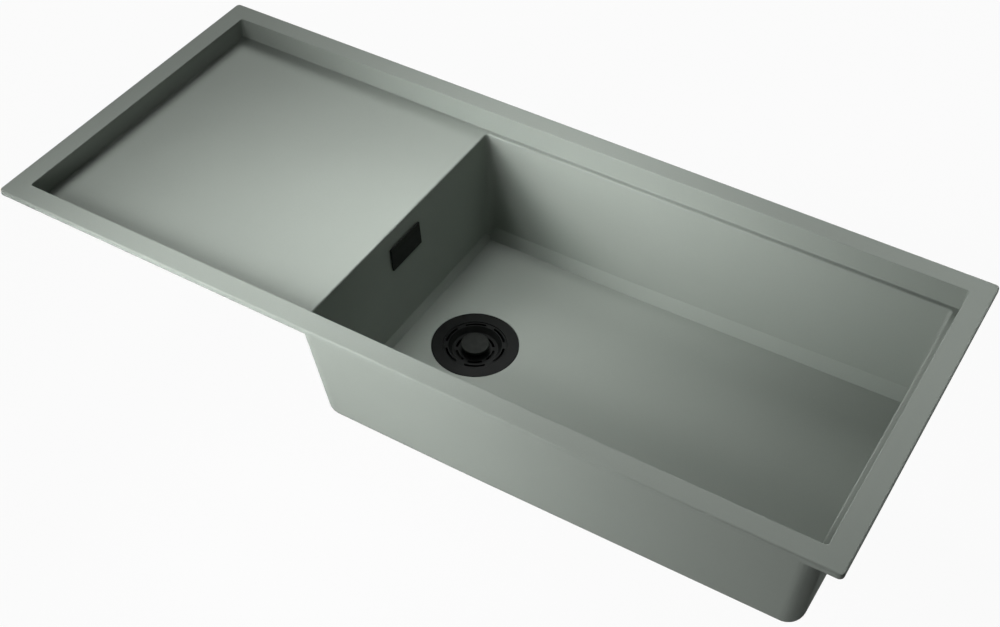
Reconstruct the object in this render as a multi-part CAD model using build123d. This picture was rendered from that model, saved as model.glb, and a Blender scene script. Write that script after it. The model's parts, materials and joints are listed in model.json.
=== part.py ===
from build123d import *
import os
from math import cos, radians, sin, tan

# Ceramic kitchen sink with a left-hand drainer, a basket strainer waste and an overflow.
# Millimetres, +Z up. The rim's underside rests on the worktop at Z = 0, and the origin is
# the centre of the rim. +X runs along the length towards the bowl and +Y to the back.
# Depths are measured down from the top of the rim.

# Rim
SINK_LENGTH = 1160.0
SINK_WIDTH = 500.0
RIM_THICKNESS = 7.5
RIM_WIDTH = 29.0
RIM_CORNER_RADIUS = 6.0
RIM_TOP_EDGE_RADIUS = 2.0
RIM_BOTTOM_EDGE_RADIUS = 0.8
RIM_INNER_EDGE_RADIUS = 1.0

# Recess inside the rim: draining floor at the left, ledge around the bowl
RECESS_DEPTH = 32.0
RECESS_DRAFT = 2.0
RECESS_CORNER_RADIUS = 3.5
RECESS_FLOOR_RADIUS = 1.5
RECESS_WALL = 7.5
TRAY_CORNER_RADIUS = 14.0
TRAY_BOTTOM_RADIUS = 10.0
DRAINER_LENGTH = 426.0
DRAINER_FALL = 2.0
LEDGE_FRONT = 8.5
LEDGE_BACK = 8.5
LEDGE_RIGHT = 11.3

# Bowl
BOWL_DEPTH = 202.0
BOWL_DRAFT_LEFT = 4.7
BOWL_DRAFT_RIGHT = 4.5
BOWL_DRAFT_FRONT = 8.1
BOWL_DRAFT_BACK = 4.9
BOWL_TOP_CORNER_RADIUS = 5.0
BOWL_BOTTOM_CORNER_RADIUS = 16.0
BOWL_BEVEL_WIDTH = 7.0
BOWL_BEVEL_END_HEIGHT = 10.0
BOWL_BEVEL_SIDE_HEIGHT = 18.0
BOWL_EDGE_RADIUS = 2.2
BOWL_WALL = 10.0
BOWL_OUTER_CORNER_RADIUS = 23.0
BOWL_OUTER_BOTTOM_RADIUS = 20.0
FLOOR_THICKNESS = 9.0
FLOOR_SLOPE = 0.021
FLOOR_LEVEL_LENGTH = 110.0
FLOOR_BLEND_RADIUS = 4000.0

# Drain hole in the bowl floor
DRAIN_FROM_BOWL_EDGE = 111.6
DRAIN_HOLE_RADIUS = 45.0
DRAIN_SEAT_THICKNESS = 14.0
DRAIN_BOSS_RADIUS = 62.0

# Strainer flange and its cup
FLANGE_RADIUS = 59.0
FLANGE_SHEET = 1.5
FLANGE_EDGE_RADIUS = 0.6
FLANGE_PROUD = 0.4
FLANGE_GAP = 0.75
FLANGE_GASKET_THICKNESS = 1.5
CUP_HOLE_GAP = 0.5
CUP_DEPTH = 40.0
CUP_SHOULDER_DEPTH = 2.5
CUP_SHOULDER_WIDTH = 2.0
CUP_OPENING_RADIUS = 24.0
CUP_HUB_RADIUS = 8.0
CUP_SPOKES = 4
CUP_SPOKE_WIDTH = 5.0

# Cross recess and head edge of both screws
SCREW_HEAD_EDGE_RADIUS = 0.8
SCREW_RECESS_LENGTH = 4.8
SCREW_RECESS_WIDTH = 1.0
SCREW_RECESS_DEPTH = 1.6
SCREW_TIP_GAP = 1.0

# Clamp screw through the cup into the waste body
CLAMP_RADIUS = 3.0
CLAMP_LENGTH = 22.0
CLAMP_HEAD_RADIUS = 5.5
CLAMP_HEAD_HEIGHT = 3.5
CLAMP_HOLE_GAP = 0.3
INSERT_WALL = 2.0
INSERT_LENGTH = 12.0
THREAD_GAP = 0.05

# Waste body below the bowl
WASTE_GASKET_THICKNESS = 3.0
WASTE_FLANGE_RADIUS = 58.0
WASTE_FLANGE_THICKNESS = 5.0
WASTE_WALL = 3.5
WASTE_CUP_GAP = 2.5
WASTE_DEPTH = 54.0
WASTE_FUNNEL = 10.0
OUTLET_RADIUS = 23.9
OUTLET_WALL = 3.9
OUTLET_LENGTH = 26.0
POST_RADIUS = 7.5
POST_GAP = 1.5
POST_FLOOR = 4.0
POST_RIBS = 3
POST_RIB_THICKNESS = 4.0
POST_RIB_HEIGHT = 12.0
PORT_DROP = 40.0
PORT_REACH = 72.0

# Lift-out basket, a dished plate on the cup's shoulder
SEAT_GAP = 0.3
BASKET_SHEET = 1.2
BASKET_LIP_INNER_RADIUS = 36.0
BASKET_BASE_RADIUS = 31.0
BASKET_DISH_DEPTH = 7.5
BASKET_EDGE_RADIUS = 0.4
BASKET_SLOTS = 6
OUTER_SLOT_RADIUS = 39.0
INNER_SLOT_RADIUS = 25.0
SLOT_WIDTH = 3.4
SLOT_ARC = 38.0
GUIDE_LENGTH = 8.0
GUIDE_WALL = 2.8
GUIDE_FLANGE_RADIUS = 11.0
GUIDE_FLANGE_THICKNESS = 1.6
STEM_GAP = 0.15
PRESS_GAP = 0.02

# Stopper that hangs below the basket on the knob's stem
STOPPER_TRAVEL = 6.0
STEM_RADIUS = 4.0
STEM_END_RADIUS = 3.0
STEM_RING_SECTION = 0.42
STEM_GROOVE_DEPTH = 0.8
STEM_GROOVE_WIDTH = 1.2
KNOB_RADIUS = 19.4
KNOB_THICKNESS = 4.5
KNOB_EDGE_RADIUS = 1.4
KNOB_SOCKET = 3.2
KNOB_CLEARANCE = 0.6
SEAL_THICKNESS = 3.0
SEAL_OVERLAP = 5.0
SEAL_BAND = 8.0
BELL_WALL = 2.5
BELL_RADIUS = 19.0
NUT_HEIGHT = 4.0
NUT_ACROSS_FLATS = 10.0
STEM_END_MARGIN = 1.0

# Overflow in the bowl's left wall
OVERFLOW_DEPTH = 74.0
OVERFLOW_SLOT_WIDTH = 46.0
OVERFLOW_SLOT_HEIGHT = 18.0
OVERFLOW_SLOT_CORNER = 5.0
COVER_WIDTH = 67.0
COVER_HEIGHT = 35.5
COVER_THICKNESS = 1.6
COVER_CORNER_RADIUS = 1.5
COVER_EDGE_RADIUS = 0.6
COVER_WATERWAY = 0.8
COVER_LEG_WIDTH = 8.0
COVER_LEG_THICKNESS = 2.5
COVER_LEG_LENGTH = 7.0
COVER_PAD_RADIUS = 2.5
FRAME_MARGIN = 6.0
FRAME_FLANGE_THICKNESS = 1.0
FRAME_WALL = 2.0
FRAME_SLOT_GAP = 0.4
FRAME_BRIDGE_WIDTH = 12.0
FRAME_BRIDGE_THICKNESS = 3.0
FRAME_BRIDGE_SETBACK = 1.5
OVERFLOW_SCREW_RADIUS = 2.5
OVERFLOW_HEAD_RADIUS = 4.4
OVERFLOW_HEAD_HEIGHT = 2.6
OVERFLOW_GASKET_THICKNESS = 3.0
GASKET_LAND = 8.0
HOUSING_FLANGE_THICKNESS = 3.0
HOUSING_WALL = 2.5
HOUSING_DEPTH = 28.0
HOUSING_BOSS_WALL = 2.2
HOUSING_BOSS_SETBACK = 3.0

# Moulded overflow pipe and its two unions
PIPE_RADIUS = 9.0
PIPE_WALL = 1.8
PIPE_BEND_RADIUS = 30.0
PIPE_INSERT = 12.0
PIPE_GAP = 0.3
SPIGOT_RADIUS = 12.5
SPIGOT_LENGTH = 20.0
PIPE_SEAL_THICKNESS = 4.0
PIPE_SEAL_STEP = 1.0
UNION_RADIUS = 15.5
UNION_THREAD = 10.0
UNION_CAP = 3.0
UNION_RIBS = 8
UNION_RIB_WIDTH = 3.0
UNION_RIB_HEIGHT = 1.2

# Levels and positions that follow from the sizes above
OVERCUT = 10.0
RIM_TOP = RIM_THICKNESS
LEDGE_Z = RIM_TOP - RECESS_DEPTH
FLOOR_Z = RIM_TOP - BOWL_DEPTH
RECESS_RECT = (
    RIM_WIDTH - SINK_LENGTH / 2,
    SINK_LENGTH / 2 - RIM_WIDTH,
    RIM_WIDTH - SINK_WIDTH / 2,
    SINK_WIDTH / 2 - RIM_WIDTH,
)
RECESS_DRAFTS = (RECESS_DRAFT, RECESS_DRAFT, RECESS_DRAFT, RECESS_DRAFT)
BOWL_RECT = (
    RECESS_RECT[0] + DRAINER_LENGTH,
    RECESS_RECT[1] - LEDGE_RIGHT,
    RECESS_RECT[2] + LEDGE_FRONT,
    RECESS_RECT[3] - LEDGE_BACK,
)
BOWL_DRAFTS = (BOWL_DRAFT_LEFT, BOWL_DRAFT_RIGHT, BOWL_DRAFT_FRONT, BOWL_DRAFT_BACK)
BOWL_CORNER_GROWTH = (BOWL_BOTTOM_CORNER_RADIUS - BOWL_TOP_CORNER_RADIUS) / (BOWL_DEPTH - RECESS_DEPTH)
DRAIN_X = BOWL_RECT[0] + DRAIN_FROM_BOWL_EDGE
DRAIN_BOTTOM = FLOOR_Z - DRAIN_SEAT_THICKNESS

FLANGE_TOP = FLOOR_Z + FLANGE_PROUD
FLANGE_UNDER = FLANGE_TOP - FLANGE_SHEET
CUP_MOUTH_RADIUS = DRAIN_HOLE_RADIUS - CUP_HOLE_GAP - FLANGE_SHEET
CUP_RADIUS = CUP_MOUTH_RADIUS - CUP_SHOULDER_WIDTH
CUP_SHOULDER_Z = FLANGE_TOP - CUP_SHOULDER_DEPTH
CUP_FLOOR_Z = FLANGE_TOP - CUP_DEPTH
CUP_UNDER = CUP_FLOOR_Z - FLANGE_SHEET

WASTE_TOP = DRAIN_BOTTOM - WASTE_GASKET_THICKNESS
WASTE_BORE = CUP_RADIUS + FLANGE_SHEET + WASTE_CUP_GAP
WASTE_FLOOR_Z = WASTE_TOP - WASTE_DEPTH
OUTLET_TOP = WASTE_FLOOR_Z - WASTE_FUNNEL
OUTLET_END = OUTLET_TOP - WASTE_WALL - OUTLET_LENGTH
PORT_Z = WASTE_TOP - PORT_DROP
POST_TOP = CUP_UNDER - POST_GAP

LIP_UNDER = CUP_SHOULDER_Z + SEAT_GAP
LIP_TOP = LIP_UNDER + BASKET_SHEET
LIP_RADIUS = CUP_MOUTH_RADIUS - SEAT_GAP
BASE_TOP = LIP_TOP - BASKET_DISH_DEPTH
BASE_UNDER = BASE_TOP - BASKET_SHEET
GUIDE_BORE = STEM_RADIUS + STEM_GAP
GUIDE_RADIUS = GUIDE_BORE + GUIDE_WALL
GUIDE_END = BASE_UNDER - GUIDE_LENGTH
BELL_TOP = GUIDE_END - SEAT_GAP
SEAL_UNDER = CUP_FLOOR_Z + SEAT_GAP + STOPPER_TRAVEL
SEAL_TOP = SEAL_UNDER + SEAL_THICKNESS
SEAL_RADIUS = CUP_OPENING_RADIUS + SEAL_OVERLAP
KNOB_UNDER = BASE_TOP + STOPPER_TRAVEL + KNOB_CLEARANCE
KNOB_TOP = KNOB_UNDER + KNOB_THICKNESS
STEM_TOP = KNOB_UNDER + KNOB_SOCKET
NUT_TOP = BELL_TOP - BELL_WALL
STEM_BOTTOM = NUT_TOP - NUT_HEIGHT - STEM_END_MARGIN

BOWL_WALL_NORMAL = BOWL_WALL * cos(radians(BOWL_DRAFT_LEFT))
OVERFLOW_X = BOWL_RECT[0] + (OVERFLOW_DEPTH - RECESS_DEPTH) * tan(radians(BOWL_DRAFT_LEFT))
OVERFLOW_PLANE = Plane(
    origin=(OVERFLOW_X, 0, RIM_TOP - OVERFLOW_DEPTH),
    x_dir=(0, 1, 0),
    z_dir=(cos(radians(BOWL_DRAFT_LEFT)), 0, sin(radians(BOWL_DRAFT_LEFT))),
)
COVER_BACK = FRAME_FLANGE_THICKNESS + COVER_WATERWAY
HOUSING_FACE = -BOWL_WALL_NORMAL - OVERFLOW_GASKET_THICKNESS
CHAMBER_FACE = HOUSING_FACE - HOUSING_FLANGE_THICKNESS
CHAMBER_BACK = CHAMBER_FACE - HOUSING_DEPTH
CHAMBER_WIDTH = OVERFLOW_SLOT_WIDTH + 2 * HOUSING_WALL
CHAMBER_HEIGHT = OVERFLOW_SLOT_HEIGHT + 2 * HOUSING_WALL
GASKET_WIDTH = OVERFLOW_SLOT_WIDTH + 2 * GASKET_LAND
GASKET_HEIGHT = OVERFLOW_SLOT_HEIGHT + 2 * GASKET_LAND
PIPE_LINE = CHAMBER_FACE - HOUSING_DEPTH / 2
SPIGOT_MOUTH = -CHAMBER_HEIGHT / 2 - SPIGOT_LENGTH
BOSS_FACE = CHAMBER_FACE - HOUSING_BOSS_SETBACK
PIPE_STOP_RADIUS = PIPE_RADIUS - PIPE_WALL


def drafted(rect, drafts, drop):
    """Plan rectangle (left, right, front, back) drawn in by its walls' drafts over a drop."""
    left, right, front, back = (drop * tan(radians(draft)) for draft in drafts)
    return (rect[0] + left, rect[1] - right, rect[2] + front, rect[3] - back)


def tapered_block(rect, drafts, z_rect, z_high, z_low, corner_radius, corner_growth=0.0):
    """Block whose walls lean in by the drafts, with its plan and corner radius given at z_rect."""

    def section(z):
        left, right, front, back = drafted(rect, drafts, z_rect - z)
        radius = corner_radius + corner_growth * (z_rect - z)
        outline = RectangleRounded(right - left, back - front, radius)
        return (Pos((left + right) / 2, (front + back) / 2, z) * outline).face()

    upper = section(z_high)
    lower = section(z_low)
    faces = [upper, lower]
    for high, low in zip(upper.edges(), lower.edges()):
        if high.geom_type == GeomType.LINE:
            faces.append(Face(Wire.make_polygon([high @ 0, high @ 1, low @ 1, low @ 0])))
        else:
            faces.append(Face.make_surface_from_curves(high, low))
    return Solid(Shell(faces))


def floor_edges(solid):
    """Edges where the walls meet the floor at the bottom of a tapered block."""
    floor = [f for f in solid.faces() if f.normal_at().Z < -0.9]
    edges = [e for f in floor for e in f.edges()]
    return [e for e in edges if edges.count(e) == 1]


def floor_face(path, z_end):
    """Upright face between a floor line drawn in X and Z and a level above or below it."""
    start = path @ 0
    end = path @ 1
    closing = Polyline((end.X, end.Y), (end.X, z_end), (start.X, z_end), (start.X, start.Y))
    return Plane.XZ * make_face([path, closing])


def above_floor(path, z_high):
    """Everything above a floor line, over the whole width of the sink."""
    return extrude(floor_face(path, z_high), SINK_WIDTH, both=True)


def floor_line(x_bend, z_bend, slope_left, slope_right):
    """Floor line with one soft bend, running past both ends of the sink."""
    reach_left = x_bend + SINK_LENGTH
    reach_right = SINK_LENGTH - x_bend
    return FilletPolyline(
        (-SINK_LENGTH, z_bend + slope_left * reach_left),
        (x_bend, z_bend),
        (SINK_LENGTH, z_bend + slope_right * reach_right),
        radius=FLOOR_BLEND_RADIUS,
    )


def tub(rect, drafts, z_rect, z_high, path, corner_radius, corner_growth=0.0):
    """Tapered block that ends at a floor line."""
    lowest = min((path @ 0).Y, (path @ 0.5).Y, (path @ 1).Y) - OVERCUT
    block = tapered_block(rect, drafts, z_rect, z_high, lowest, corner_radius, corner_growth)
    return (block & above_floor(path, z_high + OVERCUT)).solid()


def turned(*points):
    """Solid of revolution about Z from (radius, height) points."""
    return revolve(Plane.XZ * make_face(Polyline(*points, close=True)), Axis.Z)


def tube(outer, inner, z_low, z_high):
    """Ring about Z."""
    return turned((inner, z_low), (outer, z_low), (outer, z_high), (inner, z_high))


def plate(width, height, corner_radius, z_low, z_high):
    """Flat plate with rounded corners between two heights."""
    outline = RectangleRounded(width, height, corner_radius)
    return Pos(0, 0, z_low) * extrude(outline, z_high - z_low)


def recess_line():
    """Draining floor that falls to the bowl, then the level ledge."""
    return floor_line(BOWL_RECT[0], LEDGE_Z, DRAINER_FALL / DRAINER_LENGTH, 0.0)


def bowl_line(drop):
    """Bowl floor, level about the drain and rising to the right, lowered by a drop."""
    return floor_line(DRAIN_X + FLOOR_LEVEL_LENGTH, FLOOR_Z - drop, 0.0, FLOOR_SLOPE)


def rim_plate():
    """Flat rim that rests on the worktop, with softened edges."""
    rim = plate(SINK_LENGTH, SINK_WIDTH, RIM_CORNER_RADIUS, 0, RIM_TOP)
    rim = fillet(rim.faces().sort_by(Axis.Z)[-1].edges(), RIM_TOP_EDGE_RADIUS)
    return fillet(rim.faces().sort_by(Axis.Z)[0].edges(), RIM_BOTTOM_EDGE_RADIUS)


def grown(rect, wall):
    """Plan rectangle with a wall's thickness added all round."""
    return (rect[0] - wall, rect[1] + wall, rect[2] - wall, rect[3] + wall)


def round_about_drain(part):
    """Place a part that was drawn about Z on the drain's axis."""
    return Pos(DRAIN_X, 0, 0) * part


def on_overflow(part):
    """Place a part that was drawn on the overflow's wall: X to the back, Y up, Z into the bowl."""
    return OVERFLOW_PLANE.location * part


def sink_outside():
    """Outside of the moulding: rim, tray below it, bowl and the drain's thickened seat."""
    tray_rect = grown(RECESS_RECT, RECESS_WALL)
    tray_floor = LEDGE_Z - RECESS_WALL
    tray = tapered_block(tray_rect, RECESS_DRAFTS, RIM_TOP, RIM_TOP / 2, tray_floor, TRAY_CORNER_RADIUS)
    tray = tray.fillet(TRAY_BOTTOM_RADIUS, floor_edges(tray))
    bowl = tub(
        grown(BOWL_RECT, BOWL_WALL), BOWL_DRAFTS, LEDGE_Z, LEDGE_Z,
        bowl_line(FLOOR_THICKNESS), BOWL_OUTER_CORNER_RADIUS,
    )
    bowl = bowl.fillet(BOWL_OUTER_BOTTOM_RADIUS, floor_edges(bowl))
    seat = tube(DRAIN_BOSS_RADIUS, DRAIN_HOLE_RADIUS, DRAIN_BOTTOM, FLOOR_Z)
    return rim_plate() + tray + bowl + round_about_drain(seat)


def strip_reach(height, draft):
    """Plan width of a bevel strip, from the bowl's floor to its height on a leaning wall."""
    return BOWL_BEVEL_WIDTH + height * tan(radians(draft))


def end_bevel(x_wall, draft, inwards):
    """Bar with the bevel strip between the bowl's floor and its left or right wall."""
    x_floor = x_wall + inwards * BOWL_BEVEL_WIDTH
    x_outside = x_floor - 2 * inwards * strip_reach(BOWL_BEVEL_END_HEIGHT, draft)
    z_floor = FLOOR_Z + FLOOR_SLOPE * max(0.0, x_floor - DRAIN_X - FLOOR_LEVEL_LENGTH)
    outline = Polyline(
        (x_floor, z_floor),
        (x_outside, z_floor + 2 * BOWL_BEVEL_END_HEIGHT),
        (x_outside, z_floor - OVERCUT),
        (x_floor, z_floor - OVERCUT),
        close=True,
    )
    return extrude(Plane.XZ * make_face(outline), SINK_WIDTH, both=True)


def side_bevel(y_wall, draft, inwards):
    """Bar with the bevel strip between the bowl's floor and its front or back wall."""
    lean = Vector(0, -inwards * strip_reach(BOWL_BEVEL_SIDE_HEIGHT, draft), BOWL_BEVEL_SIDE_HEIGHT)
    under = floor_face(bowl_line(0.0), FLOOR_Z - 2 * BOWL_BEVEL_SIDE_HEIGHT - OVERCUT)
    return extrude(Pos(0, y_wall + inwards * BOWL_BEVEL_WIDTH, 0) * under, 2 * lean.length, dir=lean)


def sink_hollow():
    """Draining recess and bowl, as one space to be taken out of the moulding."""
    recess = tub(
        RECESS_RECT, RECESS_DRAFTS, RIM_TOP, RIM_TOP + OVERCUT, recess_line(), RECESS_CORNER_RADIUS
    )
    recess = recess.fillet(RECESS_FLOOR_RADIUS, floor_edges(recess))
    bowl = tub(
        BOWL_RECT, BOWL_DRAFTS, LEDGE_Z, LEDGE_Z + OVERCUT,
        bowl_line(0.0), BOWL_TOP_CORNER_RADIUS, BOWL_CORNER_GROWTH,
    )
    left, right, front, back = drafted(BOWL_RECT, BOWL_DRAFTS, LEDGE_Z - FLOOR_Z)
    bowl -= end_bevel(left, BOWL_DRAFT_LEFT, 1) + end_bevel(right, BOWL_DRAFT_RIGHT, -1)
    bowl -= side_bevel(front, BOWL_DRAFT_FRONT, 1) + side_bevel(back, BOWL_DRAFT_BACK, -1)
    return recess + bowl


def edges_at(body, rect, z, margin):
    """Edges at a height that run within a margin of a plan rectangle."""
    box = grown(rect, margin)
    level = [e for e in body.edges() if abs(e.bounding_box().max.Z - z) < margin / 10]
    level = [e for e in level if e.bounding_box().size.Z < margin / 10]
    inside = [e for e in level if box[0] < e.center().X < box[1] and box[2] < e.center().Y < box[3]]
    return inside


def sink_body():
    """Rim, draining recess and bowl as one moulding, with its drain and overflow openings."""
    body = (sink_outside() - sink_hollow()).solid()
    body = body.fillet(RIM_INNER_EDGE_RADIUS, edges_at(body, RECESS_RECT, RIM_TOP, 1.0))
    body = body.fillet(BOWL_EDGE_RADIUS, edges_at(body, BOWL_RECT, LEDGE_Z, 1.0))
    flange_recess_depth = FLANGE_SHEET + FLANGE_GASKET_THICKNESS - FLANGE_PROUD
    drain = Pos(0, 0, DRAIN_BOTTOM - OVERCUT) * Cylinder(
        DRAIN_HOLE_RADIUS, DRAIN_SEAT_THICKNESS + 2 * OVERCUT, align=(Align.CENTER, Align.CENTER, Align.MIN)
    )
    seat = Pos(0, 0, FLOOR_Z - flange_recess_depth) * Cylinder(
        FLANGE_RADIUS + FLANGE_GAP, OVERCUT, align=(Align.CENTER, Align.CENTER, Align.MIN)
    )
    slot = plate(
        OVERFLOW_SLOT_WIDTH, OVERFLOW_SLOT_HEIGHT, OVERFLOW_SLOT_CORNER,
        -BOWL_WALL_NORMAL - OVERCUT, OVERCUT,
    )
    return body - round_about_drain(drain + seat) - on_overflow(slot)


def strainer_flange():
    """Black ring in the bowl floor, with the cup that takes the basket."""
    sheet = FLANGE_SHEET
    ring = turned(
        (CUP_MOUTH_RADIUS, FLANGE_TOP),
        (FLANGE_RADIUS, FLANGE_TOP),
        (FLANGE_RADIUS, FLANGE_UNDER),
        (CUP_MOUTH_RADIUS + sheet, FLANGE_UNDER),
        (CUP_MOUTH_RADIUS + sheet, CUP_SHOULDER_Z - sheet),
        (CUP_RADIUS + sheet, CUP_SHOULDER_Z - sheet),
        (CUP_RADIUS + sheet, CUP_UNDER),
        (CUP_OPENING_RADIUS, CUP_UNDER),
        (CUP_OPENING_RADIUS, CUP_FLOOR_Z),
        (CUP_RADIUS, CUP_FLOOR_Z),
        (CUP_RADIUS, CUP_SHOULDER_Z),
        (CUP_MOUTH_RADIUS, CUP_SHOULDER_Z),
    )
    rims = [e for e in ring.edges() if abs(e.center().Z - FLANGE_TOP) < sheet / 10]
    ring = fillet(rims, FLANGE_EDGE_RADIUS)
    hub = tube(CUP_HUB_RADIUS, CLAMP_RADIUS + CLAMP_HOLE_GAP, CUP_UNDER, CUP_FLOOR_Z)
    spoke_length = CUP_OPENING_RADIUS - CUP_HUB_RADIUS + sheet
    spoke = Pos(CUP_HUB_RADIUS - sheet / 2, 0, CUP_UNDER) * Box(
        spoke_length, CUP_SPOKE_WIDTH, sheet, align=(Align.MIN, Align.CENTER, Align.MIN)
    )
    for i in range(CUP_SPOKES):
        hub += Rot(0, 0, i * 360 / CUP_SPOKES) * spoke
    return round_about_drain(ring + hub)


def flange_gasket():
    """Seal between the flange and its seat in the bowl floor."""
    outer = FLANGE_RADIUS - FLANGE_GAP
    return round_about_drain(
        tube(outer, DRAIN_HOLE_RADIUS + FLANGE_GAP, FLANGE_UNDER - FLANGE_GASKET_THICKNESS, FLANGE_UNDER)
    )


def screw(radius, length, head_radius, head_height):
    """Pan-head screw along Z, with the underside of its head at Z = 0 and a cross recess."""
    body = tube(head_radius, 0, 0, head_height) + tube(radius, 0, -length, 0)
    body = fillet(body.edges().group_by(Axis.Z)[-1], SCREW_HEAD_EDGE_RADIUS)
    bar = Pos(0, 0, head_height) * Box(SCREW_RECESS_LENGTH, SCREW_RECESS_WIDTH, 2 * SCREW_RECESS_DEPTH)
    return body - bar - Rot(0, 0, 90) * bar


def clamp_screw():
    """Screw that pulls the flange and the waste body together through the bowl floor."""
    return round_about_drain(
        Pos(0, 0, CUP_FLOOR_Z) * screw(CLAMP_RADIUS, CLAMP_LENGTH, CLAMP_HEAD_RADIUS, CLAMP_HEAD_HEIGHT)
    )


def clamp_insert():
    """Brass thread in the top of the waste body's post."""
    bore = CLAMP_RADIUS + THREAD_GAP
    return round_about_drain(tube(bore + INSERT_WALL, bore, POST_TOP - INSERT_LENGTH, POST_TOP))


def waste_gasket():
    """Seal between the waste body and the underside of the drain's seat."""
    return round_about_drain(
        tube(WASTE_FLANGE_RADIUS, DRAIN_HOLE_RADIUS + FLANGE_GAP, WASTE_TOP, DRAIN_BOTTOM)
    )


def waste_form(wall, outlet_radius, overcut):
    """Chamber, funnel and outlet of the waste body as a solid, grown by a wall."""
    return turned(
        (0, WASTE_TOP + overcut),
        (WASTE_BORE + wall, WASTE_TOP + overcut),
        (WASTE_BORE + wall, WASTE_FLOOR_Z - wall),
        (outlet_radius, OUTLET_TOP - wall),
        (outlet_radius, OUTLET_END - overcut),
        (0, OUTLET_END - overcut),
    )


def spigot_bore(mouth, depth):
    """Stepped bore along -Z from a spigot's mouth: a socket for the pipe, then its stop."""
    socket = tube(PIPE_RADIUS + PIPE_GAP, 0, mouth - PIPE_INSERT, mouth + OVERCUT)
    return socket + tube(PIPE_STOP_RADIUS, 0, mouth - depth, mouth)


def waste_body():
    """Housing under the bowl: chamber, outlet thread, overflow port and the clamp's post."""
    chamber = waste_form(0, OUTLET_RADIUS - OUTLET_WALL, OVERCUT)
    shell = waste_form(WASTE_WALL, OUTLET_RADIUS, 0)
    shell += tube(WASTE_FLANGE_RADIUS, WASTE_BORE, WASTE_TOP - WASTE_FLANGE_THICKNESS, WASTE_TOP)
    to_port = Pos(0, 0, PORT_Z) * Rot(0, -90, 0)
    shell += to_port * tube(SPIGOT_RADIUS, 0, 0, PORT_REACH)
    shell -= chamber
    shell -= to_port * spigot_bore(PORT_REACH, PORT_REACH)
    insert_radius = CLAMP_RADIUS + THREAD_GAP + INSERT_WALL + PRESS_GAP
    hole_depth = max(CLAMP_LENGTH, INSERT_LENGTH)
    post_bottom = POST_TOP - hole_depth - POST_FLOOR
    post = tube(POST_RADIUS, 0, post_bottom, POST_TOP)
    rib = Pos(0, 0, post_bottom) * Box(
        WASTE_BORE + WASTE_WALL / 2, POST_RIB_THICKNESS, POST_RIB_HEIGHT,
        align=(Align.MIN, Align.CENTER, Align.MIN),
    )
    for i in range(POST_RIBS):
        post += Rot(0, 0, i * 360 / POST_RIBS) * rib
    post -= tube(insert_radius, 0, POST_TOP - INSERT_LENGTH, POST_TOP + OVERCUT)
    post -= tube(CLAMP_RADIUS + CLAMP_HOLE_GAP, 0, POST_TOP - hole_depth, POST_TOP)
    return round_about_drain(shell + post)


def arc_slot(radius):
    """Curved slot through the basket's sheet, centred on +X."""
    outline = SlotArc(CenterArc((0, 0), radius, -SLOT_ARC / 2, SLOT_ARC), SLOT_WIDTH)
    return extrude(outline, BASKET_DISH_DEPTH + OVERCUT, both=True)


def strainer_basket():
    """Dished plate with two rings of curved slots, resting on the cup's shoulder."""
    sheet = BASKET_SHEET
    dish = turned(
        (GUIDE_RADIUS + PRESS_GAP, BASE_TOP),
        (BASKET_BASE_RADIUS, BASE_TOP),
        (BASKET_LIP_INNER_RADIUS, LIP_TOP),
        (LIP_RADIUS, LIP_TOP),
        (LIP_RADIUS, LIP_UNDER),
        (BASKET_LIP_INNER_RADIUS + sheet / 2, LIP_UNDER),
        (BASKET_BASE_RADIUS + sheet / 2, BASE_UNDER),
        (GUIDE_RADIUS + PRESS_GAP, BASE_UNDER),
    )
    lip_edges = [e for e in dish.edges() if abs(e.center().Z - LIP_TOP) < sheet / 10]
    outer_edge = sorted(lip_edges, key=lambda e: e.length)[-1]
    dish = fillet(outer_edge, BASKET_EDGE_RADIUS)
    for radius in (OUTER_SLOT_RADIUS, INNER_SLOT_RADIUS):
        slot = Pos(0, 0, BASE_TOP) * arc_slot(radius)
        for i in range(BASKET_SLOTS):
            dish -= Rot(0, 0, i * 360 / BASKET_SLOTS) * slot
    return round_about_drain(dish)


def stem_guide():
    """Bush pressed into the basket from below, in which the stem slides."""
    return round_about_drain(turned(
        (GUIDE_BORE, BASE_TOP),
        (GUIDE_RADIUS, BASE_TOP),
        (GUIDE_RADIUS, BASE_UNDER),
        (GUIDE_FLANGE_RADIUS, BASE_UNDER),
        (GUIDE_FLANGE_RADIUS, BASE_UNDER - GUIDE_FLANGE_THICKNESS),
        (GUIDE_RADIUS, BASE_UNDER - GUIDE_FLANGE_THICKNESS),
        (GUIDE_RADIUS, GUIDE_END),
        (GUIDE_BORE, GUIDE_END),
    ))


def basket_knob():
    """Round knob that is pushed down to shut the waste and lifted to take the basket out."""
    cap = tube(KNOB_RADIUS, 0, KNOB_UNDER, KNOB_TOP)
    cap = fillet(cap.edges(), KNOB_EDGE_RADIUS)
    socket = tube(STEM_RADIUS + PRESS_GAP, 0, KNOB_UNDER - OVERCUT, STEM_TOP)
    return round_about_drain(cap - socket)


def stopper_stem():
    """Rod from the knob through the guide to the bell, with a groove for its ring."""
    groove = STEM_RADIUS - STEM_GROOVE_DEPTH
    middle = (BASE_TOP + GUIDE_END) / 2
    return round_about_drain(turned(
        (0, STEM_BOTTOM),
        (STEM_END_RADIUS, STEM_BOTTOM),
        (STEM_END_RADIUS, BELL_TOP),
        (STEM_RADIUS, BELL_TOP),
        (STEM_RADIUS, middle - STEM_GROOVE_WIDTH / 2),
        (groove, middle - STEM_GROOVE_WIDTH / 2),
        (groove, middle + STEM_GROOVE_WIDTH / 2),
        (STEM_RADIUS, middle + STEM_GROOVE_WIDTH / 2),
        (STEM_RADIUS, STEM_TOP),
        (0, STEM_TOP),
    ))


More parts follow.
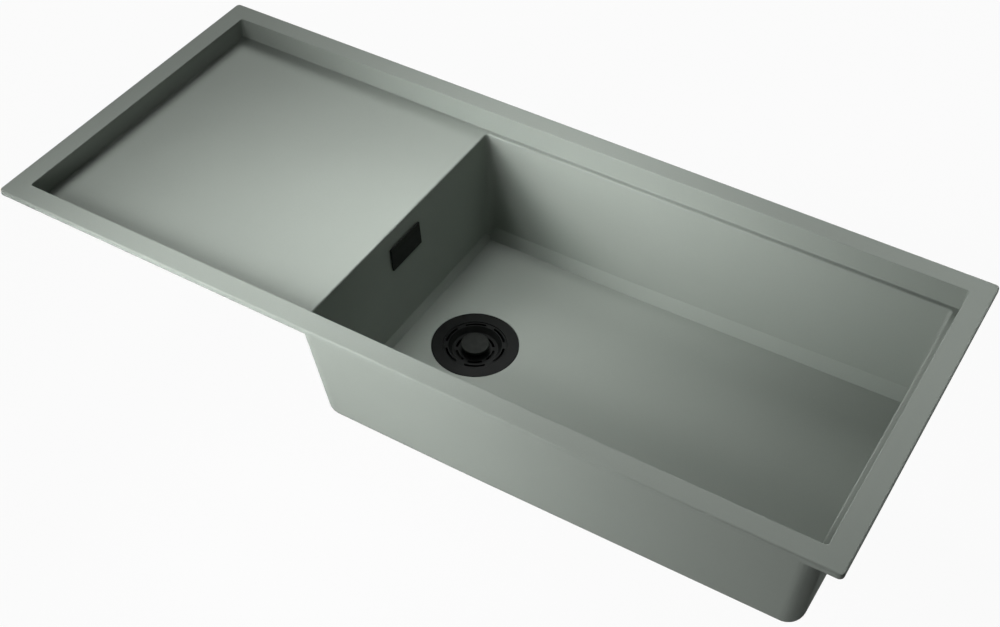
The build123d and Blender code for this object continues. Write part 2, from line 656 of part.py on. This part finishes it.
def stem_ring():
    """Rubber ring in the stem's groove, which holds the stopper where it is put."""
    major = STEM_RADIUS - STEM_GROOVE_DEPTH + STEM_RING_SECTION + PRESS_GAP
    middle = (BASE_TOP + GUIDE_END) / 2
    return round_about_drain(Pos(0, 0, middle) * Torus(major, STEM_RING_SECTION))


def stopper_bell():
    """Hollow carrier under the stem, which clears the clamp screw and holds the seal."""
    return round_about_drain(turned(
        (STEM_END_RADIUS + PRESS_GAP, BELL_TOP),
        (BELL_RADIUS, BELL_TOP),
        (BELL_RADIUS, SEAL_TOP + BELL_WALL),
        (SEAL_RADIUS, SEAL_TOP + BELL_WALL),
        (SEAL_RADIUS, SEAL_TOP),
        (BELL_RADIUS - BELL_WALL, SEAL_TOP),
        (BELL_RADIUS - BELL_WALL, NUT_TOP),
        (STEM_END_RADIUS + PRESS_GAP, NUT_TOP),
    ))


def stopper_seal():
    """Rubber ring under the bell that closes on the cup's floor."""
    return round_about_drain(tube(SEAL_RADIUS, SEAL_RADIUS - SEAL_BAND, SEAL_UNDER, SEAL_TOP))


def stopper_nut():
    """Hexagon nut that holds the bell on the stem."""
    outline = RegularPolygon(NUT_ACROSS_FLATS / 2, 6, major_radius=False)
    nut = extrude(outline - Circle(STEM_END_RADIUS + THREAD_GAP), NUT_HEIGHT)
    return round_about_drain(Pos(0, 0, NUT_TOP - NUT_HEIGHT) * nut)


def overflow_cover():
    """Plate over the overflow, standing off the wall so that water passes behind its edges."""
    face = COVER_BACK + COVER_THICKNESS
    cover = plate(COVER_WIDTH, COVER_HEIGHT, COVER_CORNER_RADIUS, COVER_BACK, face)
    cover = fillet(cover.faces().sort_by(Axis.Z)[-1].edges(), COVER_EDGE_RADIUS)
    leg_place = OVERFLOW_SLOT_WIDTH / 2 - FRAME_SLOT_GAP - FRAME_WALL - SEAT_GAP - COVER_LEG_THICKNESS / 2
    pad_x = OVERFLOW_SLOT_WIDTH / 2 - COVER_LEG_WIDTH
    pad_y = OVERFLOW_SLOT_HEIGHT / 2 + FRAME_MARGIN / 2
    pad = tube(COVER_PAD_RADIUS, 0, FRAME_FLANGE_THICKNESS + SEAT_GAP, COVER_BACK)
    leg = Pos(0, 0, COVER_BACK) * Box(
        COVER_LEG_THICKNESS, COVER_LEG_WIDTH, COVER_BACK + COVER_LEG_LENGTH,
        align=(Align.CENTER, Align.CENTER, Align.MAX),
    )
    for side in (-1, 1):
        cover += Pos(side * leg_place, 0, 0) * leg
        for end in (-1, 1):
            cover += Pos(side * pad_x, end * pad_y, 0) * pad
    return on_overflow(cover)


def overflow_frame():
    """Collar in the wall's slot: a flange, a sleeve and the bridge that the screw pulls on."""
    gap = FRAME_SLOT_GAP
    sleeve_width = OVERFLOW_SLOT_WIDTH - 2 * gap
    sleeve_height = OVERFLOW_SLOT_HEIGHT - 2 * gap
    sleeve_corner = OVERFLOW_SLOT_CORNER - gap
    frame = plate(
        OVERFLOW_SLOT_WIDTH + 2 * FRAME_MARGIN, OVERFLOW_SLOT_HEIGHT + 2 * FRAME_MARGIN,
        OVERFLOW_SLOT_CORNER, 0, FRAME_FLANGE_THICKNESS,
    )
    frame += plate(sleeve_width, sleeve_height, sleeve_corner, -BOWL_WALL_NORMAL, 0)
    frame -= plate(
        sleeve_width - 2 * FRAME_WALL, sleeve_height - 2 * FRAME_WALL, sleeve_corner - FRAME_WALL,
        -BOWL_WALL_NORMAL - OVERCUT, OVERCUT,
    )
    bridge = Pos(0, 0, -FRAME_BRIDGE_SETBACK) * Box(
        FRAME_BRIDGE_WIDTH, sleeve_height - FRAME_WALL, FRAME_BRIDGE_THICKNESS,
        align=(Align.CENTER, Align.CENTER, Align.MAX),
    )
    bridge -= tube(OVERFLOW_SCREW_RADIUS + CLAMP_HOLE_GAP, 0, -OVERCUT, OVERCUT)
    return on_overflow(frame + bridge)


def overflow_screw():
    """Screw through the frame's bridge into the housing behind the wall."""
    length = INSERT_LENGTH - BOSS_FACE - FRAME_BRIDGE_SETBACK - SCREW_TIP_GAP
    part = screw(OVERFLOW_SCREW_RADIUS, length, OVERFLOW_HEAD_RADIUS, OVERFLOW_HEAD_HEIGHT)
    return on_overflow(Pos(0, 0, -FRAME_BRIDGE_SETBACK) * part)


def overflow_insert():
    """Brass thread in the housing's boss."""
    bore = OVERFLOW_SCREW_RADIUS + THREAD_GAP
    return on_overflow(tube(bore + INSERT_WALL, bore, BOSS_FACE - INSERT_LENGTH, BOSS_FACE))


def overflow_gasket():
    """Flat seal between the housing and the back of the bowl's wall."""
    seal = plate(GASKET_WIDTH, GASKET_HEIGHT, OVERFLOW_SLOT_CORNER, HOUSING_FACE, -BOWL_WALL_NORMAL)
    opening = plate(
        OVERFLOW_SLOT_WIDTH, OVERFLOW_SLOT_HEIGHT, OVERFLOW_SLOT_CORNER, HOUSING_FACE, -BOWL_WALL_NORMAL
    )
    return on_overflow(seal - opening)


def overflow_housing():
    """Chamber behind the wall, with a boss for the screw and a spigot for the pipe."""
    corner = OVERFLOW_SLOT_CORNER
    shell = plate(GASKET_WIDTH, GASKET_HEIGHT, corner, CHAMBER_FACE, HOUSING_FACE)
    shell += plate(CHAMBER_WIDTH, CHAMBER_HEIGHT, corner, CHAMBER_BACK, CHAMBER_FACE)
    down = Pos(0, 0, PIPE_LINE) * Rot(90, 0, 0)
    shell += down * tube(SPIGOT_RADIUS, 0, 0, -SPIGOT_MOUTH)
    shell -= plate(
        OVERFLOW_SLOT_WIDTH, OVERFLOW_SLOT_HEIGHT, corner, CHAMBER_BACK + HOUSING_WALL, HOUSING_FACE + OVERCUT
    )
    shell -= down * spigot_bore(-SPIGOT_MOUTH, -SPIGOT_MOUTH)
    insert_radius = OVERFLOW_SCREW_RADIUS + THREAD_GAP + INSERT_WALL + PRESS_GAP
    boss = tube(insert_radius + HOUSING_BOSS_WALL, 0, CHAMBER_BACK + HOUSING_WALL / 2, BOSS_FACE)
    boss -= tube(insert_radius, 0, BOSS_FACE - INSERT_LENGTH, BOSS_FACE + OVERCUT)
    return on_overflow(shell + boss)


def pipe_ends():
    """Mouths of the two spigots, each with the direction that the pipe leaves it."""
    top = OVERFLOW_PLANE.from_local_coords(Vector(0, SPIGOT_MOUTH, PIPE_LINE))
    top_direction = -OVERFLOW_PLANE.y_dir
    port = Vector(DRAIN_X - PORT_REACH, 0, PORT_Z)
    return (top, top_direction), (port, Vector(-1, 0, 0))


def overflow_pipe():
    """Moulded pipe from the overflow housing down beside the bowl to the waste body."""
    (top, down), (port, out) = pipe_ends()
    corner = top + down * ((PORT_Z - top.Z) / down.Z)
    path = FilletPolyline(top - down * PIPE_INSERT, corner, port - out * PIPE_INSERT, radius=PIPE_BEND_RADIUS)
    section = Plane(origin=path @ 0, z_dir=path % 0) * (Circle(PIPE_RADIUS) - Circle(PIPE_STOP_RADIUS))
    return sweep(section, path=path)


def at_pipe_ends(part):
    """A part drawn along +Z from a spigot's mouth, placed at both ends of the pipe."""
    return [Plane(origin=mouth, z_dir=direction).location * part for mouth, direction in pipe_ends()]


def pipe_seals():
    """Cone seals that the union nuts press on to the spigots' mouths."""
    bore = PIPE_RADIUS + THREAD_GAP
    rim = SPIGOT_RADIUS - PIPE_SEAL_STEP
    ring = turned(
        (bore, 0),
        (rim, 0),
        (rim, PIPE_SEAL_THICKNESS / 2),
        (bore + PIPE_SEAL_STEP, PIPE_SEAL_THICKNESS),
        (bore, PIPE_SEAL_THICKNESS),
    )
    return Compound(children=at_pipe_ends(ring))


def pipe_nuts():
    """Ribbed union nuts on the spigots' threads."""
    thread = SPIGOT_RADIUS + THREAD_GAP
    cap = PIPE_SEAL_THICKNESS + UNION_CAP
    nut = turned(
        (thread, -UNION_THREAD),
        (UNION_RADIUS, -UNION_THREAD),
        (UNION_RADIUS, cap),
        (PIPE_RADIUS + PIPE_GAP, cap),
        (PIPE_RADIUS + PIPE_GAP, PIPE_SEAL_THICKNESS),
        (thread, PIPE_SEAL_THICKNESS),
    )
    rib = Pos(UNION_RADIUS - UNION_RIB_HEIGHT, 0, -UNION_THREAD) * Box(
        2 * UNION_RIB_HEIGHT, UNION_RIB_WIDTH, UNION_THREAD + cap,
        align=(Align.MIN, Align.CENTER, Align.MIN),
    )
    for i in range(UNION_RIBS):
        nut += Rot(0, 0, i * 360 / UNION_RIBS) * rib
    return Compound(children=at_pipe_ends(nut))


PARTS = (
    sink_body,
    strainer_flange, flange_gasket, clamp_screw, clamp_insert, waste_gasket, waste_body,
    strainer_basket, stem_guide,
    basket_knob, stopper_stem, stem_ring, stopper_bell, stopper_seal, stopper_nut,
    overflow_cover, overflow_frame, overflow_screw, overflow_insert, overflow_gasket, overflow_housing,
    overflow_pipe, pipe_seals, pipe_nuts,
)

os.makedirs("parts", exist_ok=True)
for make in PARTS:
    export_step(make(), f"parts/{make.__name__}.step")
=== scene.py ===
import json
from math import cos, pi, radians, sin

import bmesh
import bpy
from mathutils import Matrix, Vector


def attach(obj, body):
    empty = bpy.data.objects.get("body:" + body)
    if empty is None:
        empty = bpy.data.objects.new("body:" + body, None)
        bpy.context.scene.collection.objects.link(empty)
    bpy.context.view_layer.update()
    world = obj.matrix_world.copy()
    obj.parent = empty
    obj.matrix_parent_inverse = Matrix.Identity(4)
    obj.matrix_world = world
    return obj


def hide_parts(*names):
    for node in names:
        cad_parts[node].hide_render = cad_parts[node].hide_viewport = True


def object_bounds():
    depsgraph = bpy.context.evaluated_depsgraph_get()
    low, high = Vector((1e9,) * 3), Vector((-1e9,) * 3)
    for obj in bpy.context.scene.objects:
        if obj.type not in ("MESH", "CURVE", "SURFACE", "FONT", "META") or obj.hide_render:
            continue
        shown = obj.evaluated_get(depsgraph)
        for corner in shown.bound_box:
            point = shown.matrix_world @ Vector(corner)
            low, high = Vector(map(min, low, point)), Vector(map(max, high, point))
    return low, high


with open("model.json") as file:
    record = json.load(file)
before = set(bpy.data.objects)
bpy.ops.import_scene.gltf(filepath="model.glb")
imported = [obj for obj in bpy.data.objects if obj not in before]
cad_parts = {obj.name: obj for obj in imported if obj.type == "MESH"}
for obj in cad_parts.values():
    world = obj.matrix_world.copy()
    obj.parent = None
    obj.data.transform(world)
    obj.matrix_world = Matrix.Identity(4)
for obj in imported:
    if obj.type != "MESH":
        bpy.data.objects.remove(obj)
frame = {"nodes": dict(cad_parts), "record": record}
CAD_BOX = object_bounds()

MM_PER_METRE = 1000
WHITE = (1.0, 1.0, 1.0, 1.0)

# Camera: a lens in pixels of the 1000 wide image, a place in metres and three angles in degrees
IMAGE_WIDTH = 1000
FOCAL_LENGTH_PIXELS = 1543.6
OPTICAL_AXIS_PIXEL = 489.1
SENSOR_WIDTH_MM = 36.0
CAMERA_PLACE = Vector((0.7491, -1.2246, 1.2968))
CAMERA_AZIMUTH = 31.17
CAMERA_ELEVATION = 44.80
CAMERA_ROLL = 0.207

# Stage: floor size and drop below the part in metres, the share of the floor that is plain white to the eye,
# and the point near the part's middle that some of the lamps face
FLOOR_SIZE = 60.0
FLOOR_DROP = 0.001
FLOOR_WHITE_SHARE = 0.95
FLOOR_COLOUR = (0.6, 0.6, 0.6)
PART_MIDDLE = (-0.05, 0.0, -0.05)

# Outlet thread: a 1 1/2 inch pipe thread, in metres, with steps of mesh in each turn
THREAD_PITCH = 0.00231
THREAD_DEPTH = 0.0013
THREAD_STEPS = 96
# How far the ridge's foot lies below the root, and how far past its end a vertex counts as on the thread
THREAD_FOOT_DEPTH = THREAD_DEPTH / 4
THREAD_END_MARGIN = THREAD_DEPTH / 2
# In pitches: half the ridge's width at its foot and at its crest, and how far it starts from each end
THREAD_FOOT_SHARE = 0.46
THREAD_CREST_SHARE = 0.07
THREAD_END_SHARE = 0.5
# Part of a turn over which the ridge rises to its full height
THREAD_RUN_OUT_TURNS = 0.25

# Finishes: the values that nearly all of a noise lies between, the rays that look for an edge, and the
# cosines between the rounded and the true normal where an edge is full and where it ends
NOISE_LOW = 0.3
NOISE_HIGH = 0.7
EDGE_SAMPLES = 6
EDGE_FULL_COSINE = 0.88
EDGE_END_COSINE = 0.995

# Places of the colour sockets on Blender's Mix node, which repeats their names for other kinds of data
MIX_AMOUNT = 0
MIX_FIRST_COLOUR = 6
MIX_SECOND_COLOUR = 7
MIX_RESULT_COLOUR = 2

# Colours, as linear red, green and blue
CERAMIC_DARK = (0.260, 0.287, 0.261)
CERAMIC_LIGHT = (0.280, 0.308, 0.281)
# Paler colour for the ceramic's edges: partly rubbed wear, partly a painted highlight
CERAMIC_EDGE_WEAR_AND_HIGHLIGHT = (0.296, 0.324, 0.297)
BLACK_COAT_DARK = (0.0055, 0.0062, 0.0058)
BLACK_COAT_LIGHT = (0.0085, 0.0095, 0.0090)
BLACK_COAT_EDGE = (0.022, 0.023, 0.022)
BLACK_PLASTIC_DARK = (0.0065, 0.0082, 0.0068)
BLACK_PLASTIC_LIGHT = (0.0110, 0.0130, 0.0112)
BLACK_PLASTIC_EDGE = (0.022, 0.023, 0.022)
WASTE_PLASTIC_DARK = (0.500, 0.512, 0.505)
WASTE_PLASTIC_LIGHT = (0.575, 0.585, 0.577)
WASTE_PLASTIC_EDGE = (0.640, 0.648, 0.640)
RUBBER_DARK = (0.012, 0.012, 0.012)
RUBBER_BLOOM = (0.036, 0.036, 0.037)
STEEL_DARK = (0.470, 0.470, 0.465)
STEEL_LIGHT = (0.620, 0.618, 0.610)
BRASS_DARK = (0.520, 0.350, 0.130)
BRASS_LIGHT = (0.720, 0.520, 0.230)


class Finish:
    """A Principled material whose sockets follow patterns laid out in the part's own frame."""

    def __init__(self, name, **sockets):
        self.material = bpy.data.materials.new(name)
        self.material.use_nodes = True
        self.nodes = self.material.node_tree.nodes
        self.links = self.material.node_tree.links
        self.shader = self.nodes["Principled BSDF"]
        self.place = self.nodes.new("ShaderNodeTexCoord").outputs["Object"]
        for socket, value in sockets.items():
            self.shader.inputs[socket.replace("_", " ")].default_value = value

    def noise(self, size, detail=2.0):
        """Soft random pattern, from 0 to 1, whose blotches are about one size across, in metres."""
        node = self.nodes.new("ShaderNodeTexNoise")
        node.inputs["Scale"].default_value = 1.0 / size
        node.inputs["Detail"].default_value = detail
        self.links.new(self.place, node.inputs["Vector"])
        return node.outputs["Fac"]

    def span(self, pattern, low, high, start=NOISE_LOW, end=NOISE_HIGH):
        """Stretch a pattern's values from start and end to low and high."""
        node = self.nodes.new("ShaderNodeMapRange")
        for socket, value in (("From Min", start), ("From Max", end), ("To Min", low), ("To Max", high)):
            node.inputs[socket].default_value = value
        self.links.new(pattern, node.inputs["Value"])
        return node.outputs["Result"]

    def join(self, operation, first, second):
        """Join two patterns with arithmetic."""
        node = self.nodes.new("ShaderNodeMath")
        node.operation = operation
        self.links.new(first, node.inputs[0])
        self.links.new(second, node.inputs[1])
        return node.outputs[0]

    def blend(self, amount, first, second):
        """Colour that goes from first to second, patterns or plain, as the amount goes from 0 to 1."""
        node = self.nodes.new("ShaderNodeMix")
        node.data_type = "RGBA"
        self.links.new(amount, node.inputs[MIX_AMOUNT])
        for socket, colour in ((MIX_FIRST_COLOUR, first), (MIX_SECOND_COLOUR, second)):
            if isinstance(colour, bpy.types.NodeSocket):
                self.links.new(colour, node.inputs[socket])
            else:
                node.inputs[socket].default_value = (*colour, 1.0)
        return node.outputs[MIX_RESULT_COLOUR]

    def edges(self, width):
        """Pattern that is 1 on sharp edges and fades to 0 one width away, in metres."""
        bevel = self.nodes.new("ShaderNodeBevel")
        bevel.samples = EDGE_SAMPLES
        bevel.inputs["Radius"].default_value = width
        dot = self.nodes.new("ShaderNodeVectorMath")
        dot.operation = "DOT_PRODUCT"
        self.links.new(bevel.outputs["Normal"], dot.inputs[0])
        self.links.new(self.nodes.new("ShaderNodeNewGeometry").outputs["Normal"], dot.inputs[1])
        return self.span(dot.outputs["Value"], 1.0, 0.0, start=EDGE_FULL_COSINE, end=EDGE_END_COSINE)

    def rubbed_edges(self, width, patch, low, high):
        """Sharp edges, worn from low to high in patches of one size, in metres."""
        return self.join("MULTIPLY", self.edges(width), self.span(self.noise(patch), low, high))

    def bump(self, height, depth):
        """Raise the surface by up to depth metres where the pattern is 1."""
        node = self.nodes.new("ShaderNodeBump")
        node.inputs["Strength"].default_value = 1.0
        node.inputs["Distance"].default_value = depth
        self.links.new(height, node.inputs["Height"])
        self.links.new(node.outputs["Normal"], self.shader.inputs["Normal"])

    def colour(self, pattern):
        """Let a pattern of colours set the base colour."""
        self.links.new(pattern, self.shader.inputs["Base Color"])

    def roughness(self, pattern):
        """Let a pattern set the roughness."""
        self.links.new(pattern, self.shader.inputs["Roughness"])


def matte_ceramic():
    """Even sage green with a fine grain, a faint cloudiness, and paler edges that are partly rubbed wear and
    partly a painted highlight.
    """
    finish = Finish("matte_ceramic", Specular_IOR_Level=0.03)
    grain = finish.noise(size=0.0009)
    cloud = finish.noise(size=0.11, detail=3.0)
    mottle = finish.join("ADD", finish.span(grain, low=0.0, high=0.6), finish.span(cloud, low=0.0, high=0.4))
    body = finish.blend(mottle, CERAMIC_DARK, CERAMIC_LIGHT)
    # Paler edges: partly rubbed wear, partly a painted highlight along the sink's edges
    worn = finish.rubbed_edges(width=0.0015, patch=0.02, low=0.3, high=0.9)
    finish.colour(finish.blend(worn, body, CERAMIC_EDGE_WEAR_AND_HIGHLIGHT))
    finish.roughness(finish.span(mottle, low=0.76, high=0.88, start=0.0, end=1.0))
    finish.bump(grain, depth=0.00002)
    return finish.material


def black_coat():
    """Matte black coat on metal: a fine orange peel, with paler rubbed edges."""
    finish = Finish("black_coat", Specular_IOR_Level=0.04)
    peel = finish.noise(size=0.0007, detail=3.0)
    smear = finish.noise(size=0.012, detail=4.0)
    body = finish.blend(finish.span(smear, low=0.0, high=1.0), BLACK_COAT_DARK, BLACK_COAT_LIGHT)
    worn = finish.rubbed_edges(width=0.0005, patch=0.004, low=0.1, high=0.8)
    finish.colour(finish.blend(worn, body, BLACK_COAT_EDGE))
    finish.roughness(finish.span(smear, low=0.42, high=0.58))
    finish.bump(peel, depth=0.00003)
    return finish.material


def black_plastic():
    """Spark-eroded black plastic: a fine sandy texture that dulls the gloss."""
    finish = Finish("black_plastic", Specular_IOR_Level=0.08)
    sand = finish.noise(size=0.0004)
    smear = finish.noise(size=0.009, detail=3.0)
    body = finish.blend(finish.span(smear, low=0.0, high=1.0), BLACK_PLASTIC_DARK, BLACK_PLASTIC_LIGHT)
    worn = finish.rubbed_edges(width=0.0004, patch=0.003, low=0.1, high=0.7)
    finish.colour(finish.blend(worn, body, BLACK_PLASTIC_EDGE))
    finish.roughness(finish.span(sand, low=0.5, high=0.68))
    finish.bump(sand, depth=0.00004)
    return finish.material


def waste_plastic():
    """Pale moulded plastic: flow marks, a fine mould texture and a faint glow through thin walls."""
    finish = Finish("waste_plastic", Specular_IOR_Level=0.4, Subsurface_Weight=0.1, Subsurface_Scale=0.002)
    flow = finish.noise(size=0.018, detail=5.0)
    sand = finish.noise(size=0.0005)
    body = finish.blend(finish.span(flow, low=0.0, high=1.0), WASTE_PLASTIC_DARK, WASTE_PLASTIC_LIGHT)
    finish.colour(finish.blend(finish.edges(width=0.0008), body, WASTE_PLASTIC_EDGE))
    finish.roughness(finish.span(flow, low=0.38, high=0.52))
    finish.bump(sand, depth=0.00002)
    return finish.material


def rubber():
    """Black rubber with a grey bloom in patches and a dull skin."""
    finish = Finish("rubber", Specular_IOR_Level=0.3)
    bloom = finish.noise(size=0.006, detail=5.0)
    skin = finish.noise(size=0.0006, detail=3.0)
    finish.colour(finish.blend(finish.span(bloom, low=0.0, high=1.0), RUBBER_DARK, RUBBER_BLOOM))
    finish.roughness(finish.span(skin, low=0.68, high=0.86))
    finish.bump(skin, depth=0.00003)
    return finish.material


def bare_metal(name, dark, light):
    """Bare metal with fine tool marks and a few duller patches."""
    finish = Finish(name, Metallic=1.0)
    marks = finish.noise(size=0.0003)
    patch = finish.noise(size=0.004, detail=4.0)
    finish.colour(finish.blend(finish.span(patch, low=0.0, high=1.0), dark, light))
    dull = finish.join("ADD", finish.span(marks, low=0.0, high=0.5), finish.span(patch, low=0.0, high=0.5))
    finish.roughness(finish.span(dull, low=0.22, high=0.40, start=0.0, end=1.0))
    finish.bump(marks, depth=0.00001)
    return finish.material


def wind_ridge(form, axis, root, crest, low, high):
    """Add a closed helical ridge, from a root radius to a crest, that runs out smoothly at both ends."""
    count = round(((high - low) / THREAD_PITCH - 2 * THREAD_END_SHARE) * THREAD_STEPS)
    run_out = THREAD_RUN_OUT_TURNS * THREAD_STEPS
    foot = root - THREAD_FOOT_DEPTH
    sections = []
    for step in range(count + 1):
        turn = 2 * pi * step / THREAD_STEPS
        level = low + THREAD_PITCH * (THREAD_END_SHARE + step / THREAD_STEPS)
        top = root + (crest - root) * min(1.0, (step + 1) / run_out, (count - step + 1) / run_out)
        outline = (
            (foot, -THREAD_FOOT_SHARE),
            (top, -THREAD_CREST_SHARE),
            (top, THREAD_CREST_SHARE),
            (foot, THREAD_FOOT_SHARE),
        )
        section = []
        for radius, share in outline:
            x = axis.x + radius * cos(turn)
            y = axis.y + radius * sin(turn)
            section.append(form.verts.new((x, y, level + share * THREAD_PITCH)))
        sections.append(section)
    made = [form.faces.new(sections[0]), form.faces.new(reversed(sections[-1]))]
    for before, after in zip(sections, sections[1:]):
        for corner in range(len(before)):
            following = (corner + 1) % len(before)
            face = (before[corner], after[corner], after[following], before[following])
            made.append(form.faces.new(face))
    bmesh.ops.recalc_face_normals(form, faces=made)


def threaded_waste_body():
    """Waste body with a real thread on its outlet, where the solid has a cylinder at the thread's crests."""
    outlet = next(mount for mount in frame["record"]["mounts"] if mount["name"] == "drain_outlet")
    axis = Vector(outlet["pos_m"])
    crest = outlet["dims"]["r_mm"] / MM_PER_METRE
    half = outlet["dims"]["length_mm"] / 2 / MM_PER_METRE
    root = crest - THREAD_DEPTH
    form = bmesh.new()
    form.from_mesh(frame["nodes"]["waste_body"].data)
    for vertex in form.verts:
        arm = vertex.co.xy - axis.xy
        if arm.length > root and vertex.co.z < axis.z + half + THREAD_END_MARGIN:
            vertex.co.xy = axis.xy + arm * root / arm.length
    wind_ridge(form, axis, root, crest, axis.z - half, axis.z + half)
    mesh = bpy.data.meshes.new("threaded_waste_body")
    form.to_mesh(mesh)
    form.free()
    mesh.materials.append(FINISHES["waste_plastic"])
    piece = bpy.data.objects.new("threaded_waste_body", mesh)
    bpy.context.scene.collection.objects.link(piece)
    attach(piece, "sink")
    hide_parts("waste_body")


def add_camera():
    """Camera at the photograph's angle, with the same lens and framing."""
    turn = radians(CAMERA_AZIMUTH)
    rise = radians(CAMERA_ELEVATION)
    forward = Vector((-sin(turn) * cos(rise), cos(turn) * cos(rise), -sin(rise)))
    level_right = Vector((cos(turn), sin(turn), 0.0))
    level_up = level_right.cross(forward)
    roll = radians(CAMERA_ROLL)
    right = level_right * cos(roll) + level_up * sin(roll)
    up = right.cross(forward)
    data = bpy.data.cameras.new("camera")
    data.sensor_width = SENSOR_WIDTH_MM
    data.lens = SENSOR_WIDTH_MM * FOCAL_LENGTH_PIXELS / IMAGE_WIDTH
    data.shift_x = 0.5 - OPTICAL_AXIS_PIXEL / IMAGE_WIDTH
    camera = bpy.data.objects.new("camera", data)
    axes = Matrix((right, up, -forward)).transposed()
    camera.matrix_world = Matrix.Translation(CAMERA_PLACE) @ axes.to_4x4()
    bpy.context.scene.collection.objects.link(camera)
    bpy.context.scene.camera = camera


def seen_directly(tree):
    """1 for rays from the camera and for glossy or transmitted rays, and 0 for diffuse and shadow rays."""
    path = tree.nodes.new("ShaderNodeLightPath")
    seen = path.outputs["Is Camera Ray"]
    for other in ("Is Glossy Ray", "Is Transmission Ray"):
        either = tree.nodes.new("ShaderNodeMath")
        either.operation = "MAXIMUM"
        tree.links.new(seen, either.inputs[0])
        tree.links.new(path.outputs[other], either.inputs[1])
        seen = either.outputs[0]
    return seen


def add_floor():
    """Pale floor under the part: mostly plain white to the eye, with a share that takes the shadow."""
    half = FLOOR_SIZE / 2
    level = CAD_BOX[0].z - FLOOR_DROP
    mesh = bpy.data.meshes.new("floor")
    corners = [(x, y, level) for x, y in ((-half, -half), (half, -half), (half, half), (-half, half))]
    mesh.from_pydata(corners, [], [(0, 1, 2, 3)])
    floor = bpy.data.objects.new("floor", mesh)
    bpy.context.scene.collection.objects.link(floor)
    material = bpy.data.materials.new("floor_white")
    material.use_nodes = True
    tree = material.node_tree
    tree.nodes.clear()
    diffuse = tree.nodes.new("ShaderNodeBsdfDiffuse")
    diffuse.inputs["Color"].default_value = (*FLOOR_COLOUR, 1.0)
    white = tree.nodes.new("ShaderNodeEmission")
    share = tree.nodes.new("ShaderNodeMath")
    share.operation = "MULTIPLY"
    share.inputs[1].default_value = FLOOR_WHITE_SHARE
    tree.links.new(seen_directly(tree), share.inputs[0])
    mix = tree.nodes.new("ShaderNodeMixShader")
    tree.links.new(share.outputs[0], mix.inputs["Fac"])
    tree.links.new(diffuse.outputs[0], mix.inputs[1])
    tree.links.new(white.outputs[0], mix.inputs[2])
    tree.links.new(mix.outputs[0], tree.nodes.new("ShaderNodeOutputMaterial").inputs["Surface"])
    mesh.materials.append(material)


def add_world():
    """White surroundings for the eye and for reflections, which throw no diffuse light on the part."""
    world = bpy.data.worlds.new("surroundings")
    world.use_nodes = True
    tree = world.node_tree
    tree.nodes.clear()
    white = tree.nodes.new("ShaderNodeBackground")
    white.inputs["Color"].default_value = WHITE
    tree.links.new(seen_directly(tree), white.inputs["Strength"])
    tree.links.new(white.outputs[0], tree.nodes.new("ShaderNodeOutputWorld").inputs["Surface"])
    bpy.context.scene.world = world


def add_softbox(name, place, aim, width, power, beam):
    """Round soft lamp of a width in metres and a power in watts, with a beam so many degrees wide."""
    data = bpy.data.lights.new(name, "AREA")
    data.shape = "DISK"
    data.size = width
    data.energy = power
    data.spread = radians(beam)
    lamp = bpy.data.objects.new(name, data)
    lamp.location = place
    lamp.rotation_euler = (Vector(aim) - Vector(place)).to_track_quat("-Z", "Y").to_euler()
    bpy.context.scene.collection.objects.link(lamp)


FINISHES = {
    "sink": matte_ceramic(),
    "black_metal": black_coat(),
    "black_plastic": black_plastic(),
    "waste_plastic": waste_plastic(),
    "rubber": rubber(),
    "steel": bare_metal("turned_steel", STEEL_DARK, STEEL_LIGHT),
    "brass": bare_metal("turned_brass", BRASS_DARK, BRASS_LIGHT),
}
for node in frame["nodes"].values():
    for material_slot in node.material_slots:
        if material_slot.name in FINISHES:
            material_slot.material = FINISHES[material_slot.name]
threaded_waste_body()

add_camera()
add_floor()
add_world()
# Three wide lamps light the whole part, and the narrow ones each lift one face of it
add_softbox("key", (-0.68, -0.98, 0.50), (0.05, -0.05, -0.05), width=0.45, power=2.38, beam=65)
add_softbox("back_left_fill", (-1.20, 1.40, 1.60), PART_MIDDLE, width=0.9, power=27.2, beam=180)
add_softbox("front_fill", (0.10, -1.50, 0.22), PART_MIDDLE, width=0.6, power=4.58, beam=180)
add_softbox("right_rim", (0.78, 1.38, 0.55), (0.56, -0.10, 0.0), width=0.4, power=0.84, beam=30)
add_softbox("drainer_top", (-0.36, 0.31, 1.17), PART_MIDDLE, width=0.45, power=0.64, beam=45)
add_softbox("drainer_front", (-0.80, -0.30, 0.90), (-0.25, -0.15, 0.0), width=0.3, power=0.16, beam=35)
add_softbox("front_wall", (-0.50, -1.30, 0.20), (-0.05, -0.25, -0.10), width=0.4, power=0.23, beam=30)
add_softbox("back_wall", (-0.40, -0.90, 0.80), (0.12, 0.22, -0.02), width=0.3, power=0.26, beam=25)
add_softbox("left_rim", (-0.90, -1.10, 0.12), (-0.42, -0.25, 0.0), width=0.3, power=0.18, beam=20)
add_softbox("bowl_floor", (0.25, -0.05, 1.30), (-0.13, -0.03, -0.20), width=0.3, power=0.032, beam=12)
bpy.context.scene.view_settings.view_transform = "Standard"
